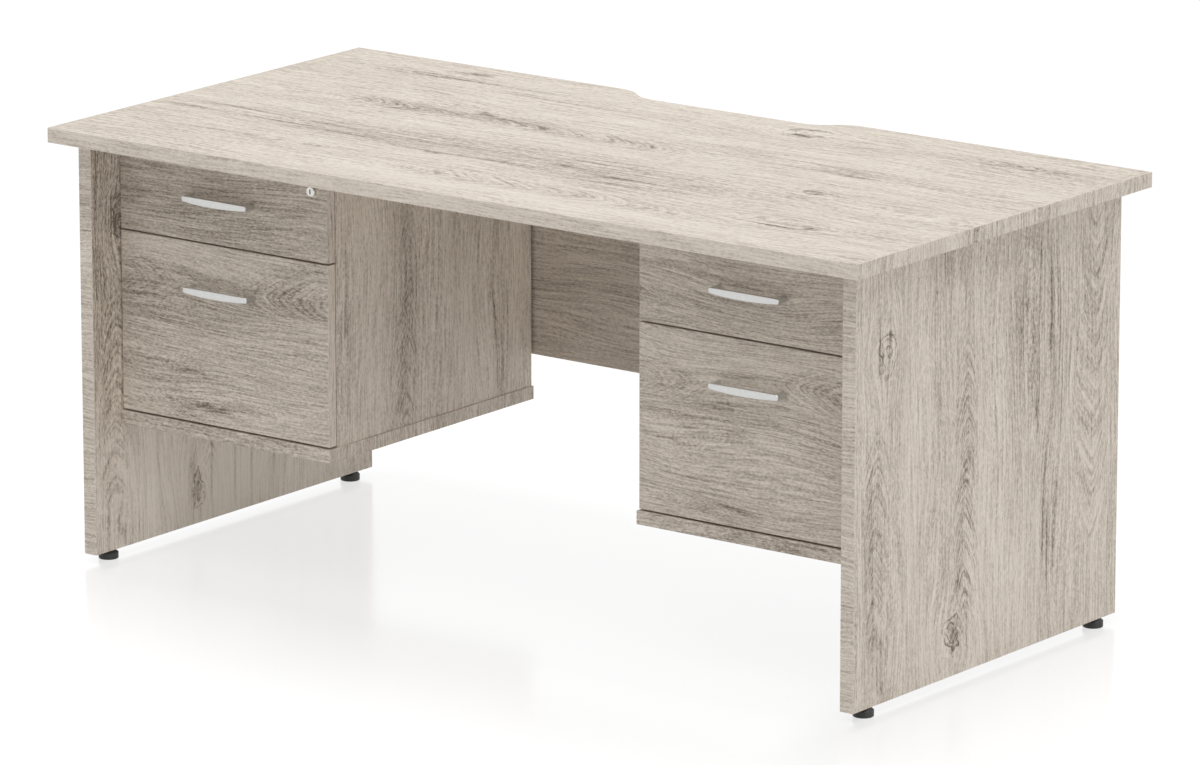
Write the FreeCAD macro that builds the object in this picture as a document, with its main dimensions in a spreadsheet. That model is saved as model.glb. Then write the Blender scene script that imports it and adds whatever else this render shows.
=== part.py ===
import FreeCAD, Part
import math
import os
import re
import Sketcher

# Pedestal desk: a panel-end desk with two fixed pedestals of two drawers each.
# The floor is at z = 0, the middle of the desk at x = y = 0 and the drawers face -Y.

# Driving sizes in millimetres.
SIZES = {
    # Desktop
    "top_width": 1600,
    "top_depth": 800,
    "desk_height": 730,
    "top_thick": 25,
    "edging": 2,
    "edge_round": 1,
    "scallop_flat": 296,
    "scallop_run": 97,
    "scallop_depth": 40,
    # End panels and modesty panel
    "side_overhang": 30,
    "panel_thick": 25,
    "panel_setback": 40,
    "modesty_thick": 18,
    "modesty_height": 405,
    "modesty_setback": 96,
    # Levelling feet
    "foot_height": 15,
    "foot_radius": 16.5,
    "foot_rim": 10,
    "foot_neck": 10.5,
    "foot_chamfer": 1,
    "foot_inset": 45,
    "stem_radius": 5,
    "stem_length": 30,
    "insert_radius": 8,
    "insert_room": 6,
    "fit_gap": 0.05,
    # Pedestal boards
    "ped_width": 435,
    "board_thick": 18,
    "modesty_gap": 6,
    "base_thick": 22,
    "base_front_lip": 3,
    "base_side_lip": 3,
    "base_back_lip": 2,
    "rail_depth": 80,
    # Drawer fronts
    "front_setback": 110,
    "front_thick": 18,
    "front_gap": 3,
    "front_headroom": 5,
    "bumper_gap": 2,
    "lower_front": 299,
    "upper_front": 148,
    # Drawer boxes
    "box_thick": 12,
    "box_rear_gap": 34,
    "box_lift": 15,
    "lower_box": 200,
    "upper_box": 75,
    "tray_thick": 6,
    "tray_lift": 8,
    "tray_groove": 6,
    "file_rail_height": 16,
    "file_rail_thick": 3,
    # Drawer slides
    "slide_height": 45,
    "slide_width": 13,
    "slide_steel": 1.5,
    "slide_inset": 4,
    "run_gap": 0.3,
    "lower_slide_rise": 85,
    "upper_slide_rise": 33,
    # Handles
    "handle_length": 133,
    "handle_proud": 24,
    "handle_bow": 6,
    "handle_bar": 5.5,
    "handle_leg": 8,
    "handle_end": 9,
    "handle_middle": 13,
    "handle_round": 3.2,
    "handle_chamfer": 0.8,
    "handle_drop": 74.5,
    "handle_screw": 2,
    "handle_thread": 12,
    "screw_head": 4.5,
    "screw_head_thick": 3,
    # Locks
    "lock_inset": 31.5,
    "lock_drop": 33,
    "lock_face": 8.5,
    "lock_proud": 4.5,
    "lock_chamfer": 1,
    "lock_body": 7,
    "lock_tail": 12,
    "plug_radius": 5,
    "plug_stub": 3,
    "key_slot_width": 2.4,
    "key_slot_height": 7.6,
    "key_slot_depth": 9,
    "cam_reach": 28,
    "cam_width": 10,
    "cam_thick": 3,
    "cam_round": 3,
    "slot_room": 2,
    "slot_depth": 13,
    # Fixings
    "disc_radius": 7.5,
    "disc_floor": 0.5,
    "disc_inset": 34,
    "bolt_radius": 3,
    "bolt_bite": 12,
    "panel_fixing_inset": 85,
    "modesty_fixing_drop": 65,
    "modesty_fixing_rise": 60,
    "ped_screw_radius": 2.5,
    "ped_screw_inset": 98,
}

# Places worked out from the sizes, each written in size names and the names of other places.
PLACES = {
    "under_top": "desk_height - top_thick",
    "panel_out": "top_width / 2 - side_overhang",
    "panel_in": "panel_out - panel_thick",
    "panel_back": "top_depth / 2 - panel_setback",
    "knee": "panel_in - ped_width",
    "modesty_back": "panel_back - modesty_setback",
    "modesty_front": "modesty_back - modesty_thick",
    "front_face": "front_setback - top_depth / 2",
    "front_back": "front_face + front_thick",
    "carcass_front": "front_back + bumper_gap",
    "carcass_back": "modesty_front - modesty_gap",
    "upper_top": "under_top - front_headroom",
    "upper_bottom": "upper_top - upper_front",
    "lower_top": "upper_bottom - front_gap",
    "lower_bottom": "lower_top - lower_front",
    "base_top": "lower_bottom - front_gap",
    "base_under": "base_top - base_thick",
    "rail_under": "under_top - board_thick",
    "front_rail_back": "carcass_front + rail_depth",
    "back_face": "carcass_back - board_thick",
    "box_back": "back_face - box_rear_gap",
    "slide_front": "carcass_front + slide_inset",
    "slide_back": "box_back - slide_inset",
    "foot_place": "panel_back - foot_inset",
    "insert_length": "stem_length + insert_room",
    "foot_middle": "panel_in + panel_thick / 2",
    "scallop_radius": "(scallop_run ^ 2 + scallop_depth ^ 2) / (4 * scallop_depth)",
    "handle_half": "handle_length / 2",
    "hole_half": "handle_half - handle_leg / 2",
    "bow_radius": "(handle_half ^ 2 + handle_bow ^ 2) / (2 * handle_bow)",
    "bow_centre": "bow_radius - handle_proud - handle_bow",
    "grip_radius": "bow_radius - handle_bar",
    "grip_half": "handle_half - handle_leg",
    "grip_face": "bow_centre - sqrt(grip_radius ^ 2 - grip_half ^ 2)",
    "lens_rise": "(handle_middle - handle_end) / 2",
    "lens_radius": "(handle_half ^ 2 + lens_rise ^ 2) / (2 * lens_rise)",
    "lock_height": "upper_top - lock_drop",
    "cam_front": "front_back + lock_tail",
    "fixing_height": "under_top - disc_inset",
    "panel_disc": "panel_thick / 2 + bolt_radius + disc_floor",
    "modesty_disc": "modesty_thick / 2 + bolt_radius + disc_floor",
}

doc = FreeCAD.newDocument("pedestal_desk")
sheet = doc.addObject("Spreadsheet::Sheet", "Sizes")
for row, (size_name, size) in enumerate(SIZES.items(), start=1):
    sheet.set(f"A{row}", size_name)
    sheet.set(f"B{row}", str(size))
    sheet.setAlias(f"B{row}", size_name)
doc.recompute()

NODES = []


def full(text):
    """Point the size names in an expression at the sheet and write its places out."""

    def swap(match):
        word = match.group()
        if word in PLACES:
            return "(" + full(PLACES[word]) + ")"
        if word in SIZES:
            return "Sizes." + word
        return word

    return re.sub(r"[a-z][a-z_]*", swap, str(text))


def value(text):
    """Present value of an expression in size and place names."""
    return float(sheet.evalExpression(full(text)))


def minus(text):
    return f"-({text})"


def mirrored(side, text):
    """The expression itself on the right of the desk, and its negative on the left."""
    return text if side == "right" else minus(text)


def span(side, near, far):
    """An x range given from the middle outwards, as (low, high) on either side of the desk."""
    if side == "right":
        return near, far
    return minus(far), minus(near)


def put(thing, x=0, y=0, z=0):
    """Bind a piece's position to expressions."""
    for axis, text in zip("xyz", (x, y, z)):
        thing.setExpression(f"Placement.Base.{axis}", full(text))
    return thing


def node(label, thing):
    """Name a finished sub-part, which is written to its own file."""
    thing.Label = label
    NODES.append(thing)
    return thing


# Solids made of primitives

TURNS = {
    "x": FreeCAD.Rotation(FreeCAD.Vector(0, 1, 0), 90),
    "y": FreeCAD.Rotation(FreeCAD.Vector(1, 0, 0), -90),
    "z": FreeCAD.Rotation(),
}


def box(name, x, y, z):
    """A box between (low, high) expressions along each axis."""
    solid = doc.addObject("Part::Box", name)
    for side, (low, high) in zip(("Length", "Width", "Height"), (x, y, z)):
        solid.setExpression(side, full(f"({high}) - ({low})"))
    return put(solid, x[0], y[0], z[0])


def rod(name, axis, start, length, radius):
    """A cylinder from a start point along +axis."""
    solid = doc.addObject("Part::Cylinder", name)
    solid.Placement = FreeCAD.Placement(FreeCAD.Vector(), TURNS[axis])
    solid.setExpression("Radius", full(radius))
    solid.setExpression("Height", full(length))
    return put(solid, *start)


def group(name, pieces):
    compound = doc.addObject("Part::Compound", name)
    compound.Links = pieces
    return compound


def cut(name, base, tools):
    """A solid with one or more others taken away from it."""
    result = doc.addObject("Part::Cut", name)
    result.Base = base
    result.Tool = tools[0]
    if len(tools) > 1:
        result.Tool = doc.addObject("Part::MultiFuse", name + "_tools")
        result.Tool.Shapes = tools
    return result


def joined(name, first, second):
    result = doc.addObject("Part::Fuse", name)
    result.Base = first
    result.Tool = second
    return result


# Solids made from sketches

def sketch_in(body, name, plane):
    """A sketch on one of the body's own origin planes, such as XY_Plane."""
    sketch = body.newObject("Sketcher::SketchObject", name)
    origin = next(item for item in body.Origin.OriginFeatures if item.Role == plane)
    sketch.AttachmentSupport = [(origin, "")]
    sketch.MapMode = "FlatFace"
    return sketch


def fix_point(sketch, line, end, x, y):
    """Bind one sketch point to a pair of expressions."""
    for kind, text in (("DistanceX", x), ("DistanceY", y)):
        number = sketch.addConstraint(Sketcher.Constraint(kind, -1, 1, line, end, value(text)))
        sketch.setExpression(f"Constraints[{number}]", full(text))


def arc_between(start, stop, radius, bulge):
    """The shorter arc from start to stop, drawn anticlockwise as sketches keep it."""
    chord = stop - start
    left = FreeCAD.Vector(-chord.y, chord.x, 0).normalize()
    reach = math.sqrt(radius ** 2 - chord.Length ** 2 / 4)
    centre = (start + stop) / 2 - left * reach * bulge
    tips = (start, stop) if bulge < 0 else (stop, start)
    begin, finish = (math.atan2(tip.y - centre.y, tip.x - centre.x) for tip in tips)
    if finish < begin:
        finish += 2 * math.pi
    ring = Part.Circle(centre, FreeCAD.Vector(0, 0, 1), radius)
    return Part.ArcOfCircle(ring, begin, finish)


def outline(sketch, corners, arcs=()):
    """A closed outline through corners given as expression pairs.

    arcs maps the number of a side to (radius, bulge): the side becomes an arc of that radius, to
    the left of its direction where bulge is 1 and to the right where it is -1.
    """
    arcs = dict(arcs)
    points = [FreeCAD.Vector(value(x), value(y), 0) for x, y in corners]
    first = len(sketch.Geometry)
    count = len(points)
    ends = []
    for side, start in enumerate(points):
        stop = points[(side + 1) % count]
        if side in arcs:
            radius, bulge = arcs[side]
            sketch.addGeometry(arc_between(start, stop, value(radius), bulge))
            ends.append((1, 2) if bulge < 0 else (2, 1))
            number = sketch.addConstraint(Sketcher.Constraint("Radius", first + side, value(radius)))
            sketch.setExpression(f"Constraints[{number}]", full(radius))
        else:
            sketch.addGeometry(Part.LineSegment(start, stop))
            ends.append((1, 2))
    for side in range(count):
        after = (side + 1) % count
        sketch.addConstraint(
            Sketcher.Constraint("Coincident", first + side, ends[side][1], first + after, ends[after][0]))
    for side, (x, y) in enumerate(corners):
        fix_point(sketch, first + side, ends[side][0], x, y)


def circle(sketch, x, y, radius):
    """A circle whose centre and radius are bound to expressions."""
    centre = FreeCAD.Vector(value(x), value(y), 0)
    place = sketch.addGeometry(Part.Circle(centre, FreeCAD.Vector(0, 0, 1), value(radius)))
    number = sketch.addConstraint(Sketcher.Constraint("Radius", place, value(radius)))
    sketch.setExpression(f"Constraints[{number}]", full(radius))
    fix_point(sketch, place, 3, x, y)


def rectangle(sketch, x, y):
    outline(sketch, [(x[0], y[0]), (x[1], y[0]), (x[1], y[1]), (x[0], y[1])])


def new_body(name):
    return doc.addObject("PartDesign::Body", name)


def pad(body, sketch, length, reverse=False):
    feature = body.newObject("PartDesign::Pad", sketch.Name + "_pad")
    feature.Profile = sketch
    feature.setExpression("Length", full(length))
    feature.Reversed = reverse
    return feature


def pocket(body, sketch, length):
    """Cut a sketch away to both sides of its plane."""
    feature = body.newObject("PartDesign::Pocket", sketch.Name + "_pocket")
    feature.Profile = sketch
    feature.SideType = "Symmetric"
    feature.setExpression("Length", full(f"2 * ({length})"))
    return feature


def turned(body, sketch):
    """Turn a sketch about its own vertical axis."""
    feature = body.newObject("PartDesign::Revolution", sketch.Name + "_turned")
    feature.Profile = sketch
    feature.ReferenceAxis = (sketch, ["V_Axis"])
    return feature


def picked(feature, wanted):
    """A feature with the names of the edges that a test picks by their middle point and form."""
    doc.recompute()
    names = []
    for number, edge in enumerate(feature.Shape.Edges, start=1):
        middle = edge.valueAt((edge.FirstParameter + edge.LastParameter) / 2)
        if wanted(middle, edge):
            names.append(f"Edge{number}")
    return feature, names


def rounded(body, feature, radius, wanted):
    """Round the picked edges of a feature."""
    fillet = body.newObject("PartDesign::Fillet", feature.Name + "_round")
    fillet.Base = picked(feature, wanted)
    fillet.setExpression("Radius", full(radius))
    return fillet


def bevelled(body, feature, width, wanted):
    """Bevel the picked edges of a feature."""
    chamfer = body.newObject("PartDesign::Chamfer", feature.Name + "_bevel")
    chamfer.Base = picked(feature, wanted)
    chamfer.setExpression("Size", full(width))
    return chamfer


# Desktop

def board_outline(sketch):
    """The scalloped outline: the recess runs in and out along two tangent arcs on each side."""
    flat, run = "scallop_flat / 2", "scallop_run"
    edge, deep = "top_depth / 2", "top_depth / 2 - scallop_depth"
    middle = "top_depth / 2 - scallop_depth / 2"
    corners = [
        ("-top_width / 2", "-top_depth / 2"),
        ("top_width / 2", "-top_depth / 2"),
        ("top_width / 2", edge),
        (f"{flat} + {run}", edge),
        (f"{flat} + {run} / 2", middle),
        (flat, deep),
        (minus(flat), deep),
        (f"-({flat}) - {run} / 2", middle),
        (f"-({flat}) - {run}", edge),
        ("-top_width / 2", edge),
    ]
    bends = {
        3: ("scallop_radius", -1),
        4: ("scallop_radius", 1),
        6: ("scallop_radius", 1),
        7: ("scallop_radius", -1),
    }
    outline(sketch, corners, bends)


def build_desktop(bores):
    rim = doc.addObject("Sketcher::SketchObject", "desktop_rim")
    board_outline(rim)
    inside = doc.addObject("Part::Offset2D", "desktop_inside")
    inside.Source = rim
    inside.Join = "Intersection"
    inside.setExpression("Value", full("-edging"))
    core = doc.addObject("Part::Extrusion", "desktop_core")
    core.Base = inside
    ring = new_body("desktop_ring")
    ring_sketch = sketch_in(ring, "desktop_ring_sketch", "XY_Plane")
    board_outline(ring_sketch)
    slab = pad(ring, ring_sketch, "top_thick")
    outside = value("top_thick") / 2
    rounded(ring, slab, "edge_round", lambda middle, edge: abs(middle.z - outside) > outside / 2)
    core.DirMode = "Custom"
    core.Dir = FreeCAD.Vector(0, 0, 1)
    core.Solid = True
    core.setExpression("LengthFwd", full("top_thick"))
    put(core, z="under_top")
    put(ring, z="under_top")
    node("desktop", cut("desktop_bored", core, bores))
    node("desktop_edging", cut("desktop_band", ring, [core]))


# Frame fixings: cam discs with bolts that bite into the neighbouring board

def cam_pair(name, disc_axis, disc_start, disc_depth, bolt_axis, bolt_start):
    """A cam disc with the bolt that ends inside it, and the blank disc that its seat is bored with."""
    blank = rod(f"{name}_blank", disc_axis, disc_start, disc_depth, "disc_radius")
    bolt = rod(f"{name}_bolt", bolt_axis, bolt_start, "disc_inset + bolt_bite", "bolt_radius")
    return cut(f"{name}_disc", blank, [bolt]), bolt, blank


def cam_fixings():
    """All cam discs and bolts; returns the bores that each board needs for them."""
    pieces = []
    bores = {"desktop": [], "left": [], "right": [], "modesty": []}
    modesty_middle = "modesty_front + modesty_thick / 2"
    modesty_seat = "modesty_back - modesty_disc"
    for side in ("left", "right"):
        seat = "panel_in" if side == "right" else "-panel_in - panel_disc"
        for place, share in (("front", -1), ("back", 1)):
            y = f"{share} * (panel_back - panel_fixing_inset)"
            disc, bolt, blank = cam_pair(f"{side}_{place}", "x", (seat, y, "fixing_height"), "panel_disc",
                                         "z", (mirrored(side, "foot_middle"), y, "fixing_height"))
            pieces += [disc, bolt]
            bores[side] += [blank, bolt]
            bores["desktop"].append(bolt)
        x = mirrored(side, "panel_in - disc_inset")
        start = x if side == "right" else "-panel_in - bolt_bite"
        for place, z in (("high", "under_top - modesty_fixing_drop"),
                         ("low", "under_top - modesty_height + modesty_fixing_rise")):
            disc, bolt, blank = cam_pair(f"{side}_modesty_{place}", "y", (x, modesty_seat, z),
                                         "modesty_disc", "x", (start, modesty_middle, z))
            pieces += [disc, bolt]
            bores["modesty"] += [blank, bolt]
            bores[side].append(bolt)
    node("cam_fittings", group("cam_fittings", pieces))
    return bores


def pedestal_screws():
    """Screws up through the top rails of the pedestals into the desktop."""
    screws = []
    shanks = {}
    rows = {"front": "carcass_front + rail_depth / 2", "rear": "back_face - rail_depth / 2"}
    places = ("knee + ped_screw_inset", "panel_in - ped_screw_inset")
    for side in ("left", "right"):
        for row, y in rows.items():
            shanks[side, row] = []
            for number, place in enumerate(places, start=1):
                name = f"{side}_{row}_screw_{number}"
                x = mirrored(side, place)
                shank = rod(f"{name}_shank", "z", (x, y, "rail_under"), "board_thick + bolt_bite",
                            "ped_screw_radius")
                head = rod(f"{name}_head", "z", (x, y, "rail_under - screw_head_thick"),
                           "screw_head_thick", "screw_head")
                screws.append(joined(name, shank, head))
                shanks[side, row].append(shank)
    node("pedestal_screws", group("pedestal_screws", screws))
    return shanks


# End panels, edging and feet

def build_feet():
    """Feet that screw up into inserts; returns the bores that the inserts need in each panel."""
    inserts = []
    bores = {"left": [], "right": []}
    for side in ("left", "right"):
        for place, share in (("front", -1), ("back", 1)):
            name = f"{place}_{side}"
            x, y = mirrored(side, "foot_middle"), f"{share} * foot_place"
            sleeve = rod(f"{name}_sleeve", "z", (x, y, "foot_height"), "insert_length", "insert_radius")
            thread = rod(f"{name}_thread", "z", (x, y, "foot_height"), "insert_length",
                         "stem_radius + fit_gap")
            inserts.append(cut(f"{name}_insert", sleeve, [thread]))
            bores[side].append(sleeve)
            foot = new_body(f"{name}_foot")
            profile = sketch_in(foot, f"{name}_foot_profile", "XZ_Plane")
            outline(profile, [
                (0, 0),
                ("foot_radius - foot_chamfer", 0),
                ("foot_radius", "foot_chamfer"),
                ("foot_radius", "foot_rim"),
                ("foot_neck", "foot_height"),
                ("stem_radius", "foot_height"),
                ("stem_radius", "foot_height + stem_length"),
                (0, "foot_height + stem_length"),
            ])
            turned(foot, profile)
            put(foot, x, y)
            node(f"{name}_foot", foot)
    node("foot_inserts", group("foot_inserts", inserts))
    return bores


def build_panels(cam_bores, foot_bores):
    bands = []
    for side in ("left", "right"):
        x = span(side, "panel_in", "panel_out")
        z = ("foot_height", "under_top")
        core = box(f"{side}_panel_core", x, ("edging - panel_back", "panel_back - edging"), z)
        node(f"{side}_end_panel", cut(f"{side}_panel_bored", core, cam_bores[side] + foot_bores[side]))
        for place, y in (("front", ("-panel_back", "edging - panel_back")),
                         ("back", ("panel_back - edging", "panel_back"))):
            bands.append(edge_band(f"{side}_{place}_band", x, y, z, -1 if place == "front" else 1))
    node("end_panel_edging", group("end_panel_edging", bands))
    core = box("modesty_core", ("-panel_in", "panel_in"), ("modesty_front", "modesty_back"),
               ("under_top - modesty_height", "under_top"))
    node("modesty_panel", cut("modesty_bored", core, cam_bores["modesty"]))


def edge_band(name, x, y, z, facing):
    """A strip on an upright board edge, with its two outer corners rounded."""
    body = new_body(name)
    sketch = sketch_in(body, f"{name}_sketch", "XY_Plane")
    rectangle(sketch, x, y)
    strip = pad(body, sketch, f"({z[1]}) - ({z[0]})")
    put(body, z=z[0])
    outer = value(y[1]) if facing > 0 else value(y[0])
    low, high = value(z[0]), value(z[1])
    rounded(body, strip, "edge_round",
            lambda middle, edge: abs(middle.y - outer) < value("edging") / 4
            and low < middle.z < high and abs(middle.z - (low + high) / 2) < (high - low) / 4)
    return body


# Pedestals

def build_carcasses(screw_bores):
    outer_sides = []
    front_rails = []
    rear_rails = []
    depth = ("carcass_front", "carcass_back")
    height = ("base_top", "under_top")
    for side in ("left", "right"):
        inside = span(side, "knee + board_thick", "panel_in - board_thick")
        node(f"{side}_pedestal_inner_side",
             box(f"{side}_inner", span(side, "knee", "knee + board_thick"), depth, height))
        outer_sides.append(
            box(f"{side}_outer", span(side, "panel_in - board_thick", "panel_in"), depth, height))
        node(f"{side}_pedestal_back", box(f"{side}_back", inside, ("back_face", "carcass_back"), height))
        base = new_body(f"{side}_base")
        sketch = sketch_in(base, f"{side}_base_sketch", "XY_Plane")
        rectangle(sketch, span(side, "knee - base_side_lip", "panel_in"),
                  ("front_face - base_front_lip", "carcass_back + base_back_lip"))
        slab = pad(base, sketch, "base_thick")
        front = value("front_face - base_front_lip")
        rounded(base, slab, "edge_round",
                lambda middle, edge: abs(middle.y - front) < value("edge_round"))
        put(base, z="base_under")
        node(f"{side}_pedestal_base", base)
        rail = box(f"{side}_front_rail", inside, ("carcass_front", "front_rail_back"),
                   ("rail_under", "under_top"))
        front_rails.append(
            cut(f"{side}_front_rail_cut", rail, [cam_slot(side)] + screw_bores[side, "front"]))
        rail = box(f"{side}_rear_rail", inside, ("back_face - rail_depth", "back_face"),
                   ("rail_under", "under_top"))
        rear_rails.append(cut(f"{side}_rear_rail_cut", rail, screw_bores[side, "rear"]))
    node("pedestal_outer_sides", group("pedestal_outer_sides", outer_sides))
    node("pedestal_front_rails", group("pedestal_front_rails", front_rails))
    node("pedestal_rear_rails", group("pedestal_rear_rails", rear_rails))


def lock_place(side):
    """X of a lock: both pedestals carry it at the same distance from the right edge of the front."""
    edge = "panel_in - front_gap" if side == "right" else "-knee"
    return f"{edge} - lock_inset"


def cam_slot(side):
    """Slot under the front rail that takes the tip of the cam when it is turned up."""
    x = lock_place(side)
    return box(f"{side}_cam_slot", (f"{x} - cam_reach", f"{x} + cam_width"),
               ("cam_front - slot_room", "cam_front + cam_thick + slot_room"),
               ("rail_under", "rail_under + slot_depth"))


# Drawer slides: three channels nested in one another with a running gap between them

CHANNELS = {
    "outer": ("slide_height / 2", 0, "slide_width - slide_steel - run_gap", "left"),
    "middle": ("slide_height / 2 - slide_steel - run_gap", "slide_steel + run_gap",
               "slide_width - slide_steel - run_gap", "left"),
    "inner": ("slide_height / 2 - 2 * (slide_steel + run_gap)", "2 * (slide_steel + run_gap)",
              "slide_width", "right"),
}


def channel(name, kind, wall, hand, z):
    """One slide member on the wall of a pedestal; hand 1 faces +X and hand -1 faces -X."""
    half, near, far, web = CHANNELS[kind]
    lip = f"{half} - slide_steel"
    if web == "left":
        back, face, tip = near, f"{near} + slide_steel", far
    else:
        back, face, tip = far, f"{far} - slide_steel", near
    body = new_body(name)
    sketch = sketch_in(body, f"{name}_section", "XZ_Plane")
    outline(sketch, [
        (back, minus(half)),
        (tip, minus(half)),
        (tip, minus(lip)),
        (face, minus(lip)),
        (face, lip),
        (tip, lip),
        (tip, half),
        (back, half),
    ])
    pad(body, sketch, "slide_back - slide_front", reverse=True)
    turn = 0 if hand > 0 else 180
    body.Placement = FreeCAD.Placement(FreeCAD.Vector(), FreeCAD.Rotation(FreeCAD.Vector(0, 0, 1), turn))
    put(body, wall, "slide_front" if hand > 0 else "slide_back", z)
    return body


def slide_pair(name, kind, side, z):
    walls = span(side, "knee + board_thick", "panel_in - board_thick")
    return [channel(f"{name}_{kind}_{number}", kind, wall, hand, z)
            for number, (wall, hand) in enumerate(zip(walls, (1, -1)), start=1)]


# Drawers

LEVELS = {
    "upper": ("upper_bottom", "upper_top", "upper_box", "upper_slide_rise"),
    "lower": ("lower_bottom", "lower_top", "lower_box", "lower_slide_rise"),
}


def build_front(name, side, bottom, top, with_lock):
    """Drawer front with bores for the handle screws and, where it has one, for the lock."""
    middle, height = front_middle(side), f"{top} - handle_drop"
    body = new_body(f"{name}_front")
    sketch = sketch_in(body, f"{name}_front_sketch", "XZ_Plane")
    rectangle(sketch, span(side, "knee", "panel_in - front_gap"), (bottom, top))
    board = pad(body, sketch, "front_thick", reverse=True)
    face = value("edge_round")
    board = rounded(body, board, "edge_round", lambda middle, edge: abs(middle.y) < face)
    bores = sketch_in(body, f"{name}_front_bores", "XZ_Plane")
    for share in (-1, 1):
        circle(bores, f"{middle} + {share} * hole_half", height, "handle_screw + run_gap")
    if with_lock:
        circle(bores, lock_place(side), "lock_height", "lock_body + fit_gap")
    pocket(body, bores, "2 * front_thick")
    put(body, y="front_face")
    return body


def front_middle(side):
    return mirrored(side, "(knee + panel_in - front_gap) / 2")


def build_handle(name, side, top):
    """Bow handle: a plan outline of bar and legs, trimmed to a lens seen from the front."""
    body = new_body(f"{name}_bar")
    plan = sketch_in(body, f"{name}_plan", "XY_Plane")
    outline(plan, [
        ("-handle_half", 0),
        ("-handle_half", "-handle_proud"),
        ("handle_half", "-handle_proud"),
        ("handle_half", 0),
        ("grip_half", 0),
        ("grip_half", "grip_face"),
        ("-grip_half", "grip_face"),
        ("-grip_half", 0),
    ], {1: ("bow_radius", -1), 5: ("grip_radius", 1)})
    bar = pad(body, plan, "handle_middle")
    bar.SideType = "Symmetric"
    lens = sketch_in(body, f"{name}_lens", "XZ_Plane")
    rectangle(lens, ("-handle_length", "handle_length"), ("-handle_middle", "handle_middle"))
    outline(lens, [
        ("-handle_half", "-handle_end / 2"),
        ("handle_half", "-handle_end / 2"),
        ("handle_half", "handle_end / 2"),
        ("-handle_half", "handle_end / 2"),
    ], {0: ("lens_radius", -1), 2: ("lens_radius", -1)})
    trimmed = pocket(body, lens, "2 * handle_proud")
    leg, proud = value("hole_half"), value("handle_proud")
    corners = rounded(body, trimmed, "handle_round",
                      lambda middle, edge: abs(middle.x) > leg and edge.Length > proud / 2
                      and abs(middle.y + proud / 2) < proud / 4)
    reach = value("handle_bar") / 4 - proud
    bevelled(body, corners, "handle_chamfer",
             lambda middle, edge: all(corner.Point.y < reach for corner in edge.Vertexes))
    holes = sketch_in(body, f"{name}_holes", "XZ_Plane")
    for share in (-1, 1):
        circle(holes, f"{share} * hole_half", 0, "handle_screw + fit_gap")
    pocket(body, holes, "handle_thread")
    height = f"{top} - handle_drop"
    put(body, front_middle(side), "front_face", height)
    screws = []
    for number, share in enumerate((-1, 1), start=1):
        x = f"{front_middle(side)} + {share} * hole_half"
        shank = rod(f"{name}_shank_{number}", "y", (x, "front_face - handle_thread", height),
                    "handle_thread + front_thick", "handle_screw")
        head = rod(f"{name}_head_{number}", "y", (x, "front_back", height),
                   "screw_head_thick", "screw_head")
        screws.append(joined(f"{name}_screw_{number}", shank, head))
    node(f"{name}_handle", group(f"{name}_handle", [body] + screws))


def build_box(name, side, bottom, height):
    """Drawer box: two sides and a back, with the base let into grooves in all three."""
    left, right = span(side, "knee + board_thick", "panel_in - board_thick")
    left, right = f"{left} + slide_width", f"{right} - slide_width"
    z = (f"{bottom} + box_lift", f"{bottom} + box_lift + {height}")
    tray_z = (f"{z[0]} + tray_lift", f"{z[0]} + tray_lift + tray_thick")
    tray_x = (f"{left} + box_thick - tray_groove", f"{right} - box_thick + tray_groove")
    tray = box(f"{name}_tray", tray_x, ("front_back", "box_back - box_thick + tray_groove"), tray_z)
    sides = []
    for hand, x in (("left", (left, f"{left} + box_thick")), ("right", (f"{right} - box_thick", right))):
        board = box(f"{name}_{hand}_board", x, ("front_back", "box_back"), z)
        sides.append(cut(f"{name}_{hand}_side", board, [tray]))
    back = box(f"{name}_back_board", (f"{left} + box_thick", f"{right} - box_thick"),
               ("box_back - box_thick", "box_back"), z)
    node(f"{name}_drawer_sides", group(f"{name}_drawer_sides", sides))
    node(f"{name}_drawer_back", cut(f"{name}_drawer_back", back, [tray]))
    node(f"{name}_drawer_base", tray)
    return left, right, z[1]


def build_file_rails(name, left, right, top):
    """Upright steel strips on the box sides that hanging files hook over."""
    strips = []
    inset = "(box_thick - file_rail_thick) / 2"
    for number, (low, high) in enumerate((
            (f"{left} + {inset}", f"{left} + {inset} + file_rail_thick"),
            (f"{right} - {inset} - file_rail_thick", f"{right} - {inset}")), start=1):
        strips.append(box(f"{name}_strip_{number}", (low, high), ("front_back", "box_back"),
                          (top, f"{top} + file_rail_height")))
    node(f"{name}_file_rails", group(f"{name}_file_rails", strips))


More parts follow.
